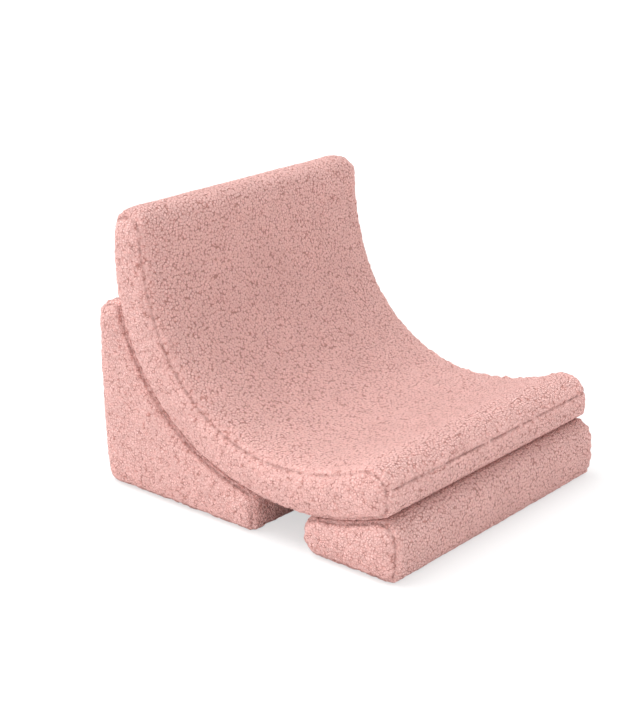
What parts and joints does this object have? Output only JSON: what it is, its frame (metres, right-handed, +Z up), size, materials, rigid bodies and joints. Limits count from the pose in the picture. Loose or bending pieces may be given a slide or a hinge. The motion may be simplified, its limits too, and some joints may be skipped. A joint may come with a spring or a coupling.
{
  "type": "moon chair",
  "caption": "Low child's lounge chair: a curved foam seat in zipped teddy-cloth covers, laid on a rear wedge and a front wedge that come apart.",
  "frame": {"origin": "centre of the footprint's width and depth box, on the floor", "axes": "+X across the chair to the sitter's left, -Y to the front where the legs hang, +Z up"},
  "size_m": [0.5, 0.5756, 0.4404],
  "materials": {
    "teddy_cloth": "dusty pink curly teddy cloth",
    "foam": "pale open-cell foam",
    "zip_tape": "woven tape, matt pink",
    "zip_coil": "satin nylon coil",
    "zip_metal": "satin painted zinc"
  },
  "bodies": {
    "rear_wedge": {"rear_foam": "foam", "rear_base_panel": "teddy_cloth", "rear_back_panel": "teddy_cloth", "rear_cradle_panel": "teddy_cloth", "rear_side_left": "teddy_cloth", "rear_side_right": "teddy_cloth", "rear_zip_tapes": "zip_tape", "rear_zip_coils": "zip_coil", "rear_zip_stops": "zip_metal"},
    "rear_zip_slider": {"rear_zip_slider": "zip_metal"},
    "rear_zip_pull": {"rear_zip_pull": "zip_metal"},
    "seat": {"seat_foam": "foam", "seat_top_panel": "teddy_cloth", "seat_under_panel": "teddy_cloth", "seat_side_left": "teddy_cloth", "seat_side_right": "teddy_cloth", "seat_zip_tapes": "zip_tape", "seat_zip_coils": "zip_coil", "seat_zip_stops": "zip_metal"},
    "seat_zip_slider": {"seat_zip_slider": "zip_metal"},
    "seat_zip_pull": {"seat_zip_pull": "zip_metal"},
    "front_wedge": {"front_foam": "foam", "front_base_panel": "teddy_cloth", "front_face_panel": "teddy_cloth", "front_tail_panel": "teddy_cloth", "front_side_left": "teddy_cloth", "front_side_right": "teddy_cloth", "front_zip_tapes": "zip_tape", "front_zip_coils": "zip_coil", "front_zip_stops": "zip_metal"},
    "front_zip_slider": {"front_zip_slider": "zip_metal"},
    "front_zip_pull": {"front_zip_pull": "zip_metal"}
  },
  "joints": [
    {"name": "seat_lift", "type": "slide", "parent": "rear_wedge", "child": "seat", "axis": [0, 0, 1], "range_m": [0, 0.3]},
    {"name": "front_wedge_pull", "type": "slide", "parent": "rear_wedge", "child": "front_wedge", "axis": [0, -1, 0], "range_m": [0, 0.3]},
    {"name": "seat_zip_run", "type": "slide", "parent": "seat", "child": "seat_zip_slider", "axis": [-1, 0, 0], "range_m": [0, 0.382]},
    {"name": "seat_pull_turn", "type": "hinge", "parent": "seat_zip_slider", "child": "seat_zip_pull", "pos_m": [0.191, 0.24084, 0.40012], "axis": [0, 0.1449, -0.9894], "range_deg": [0, 180]},
    {"name": "rear_zip_run", "type": "slide", "parent": "rear_wedge", "child": "rear_zip_slider", "axis": [-1, 0, 0], "range_m": [0, 0.382]},
    {"name": "rear_pull_turn", "type": "hinge", "parent": "rear_zip_slider", "child": "rear_zip_pull", "pos_m": [0.191, 0.28599, 0.03397], "axis": [0, -0.0422, -0.9991], "range_deg": [0, 180]},
    {"name": "front_zip_run", "type": "slide", "parent": "front_wedge", "child": "front_zip_slider", "axis": [-1, 0, 0], "range_m": [0, 0.382]},
    {"name": "front_pull_turn", "type": "hinge", "parent": "front_zip_slider", "child": "front_zip_pull", "pos_m": [0.191, -0.1177, 0.028], "axis": [0, 0, -1], "range_deg": [0, 180]}
  ]
}
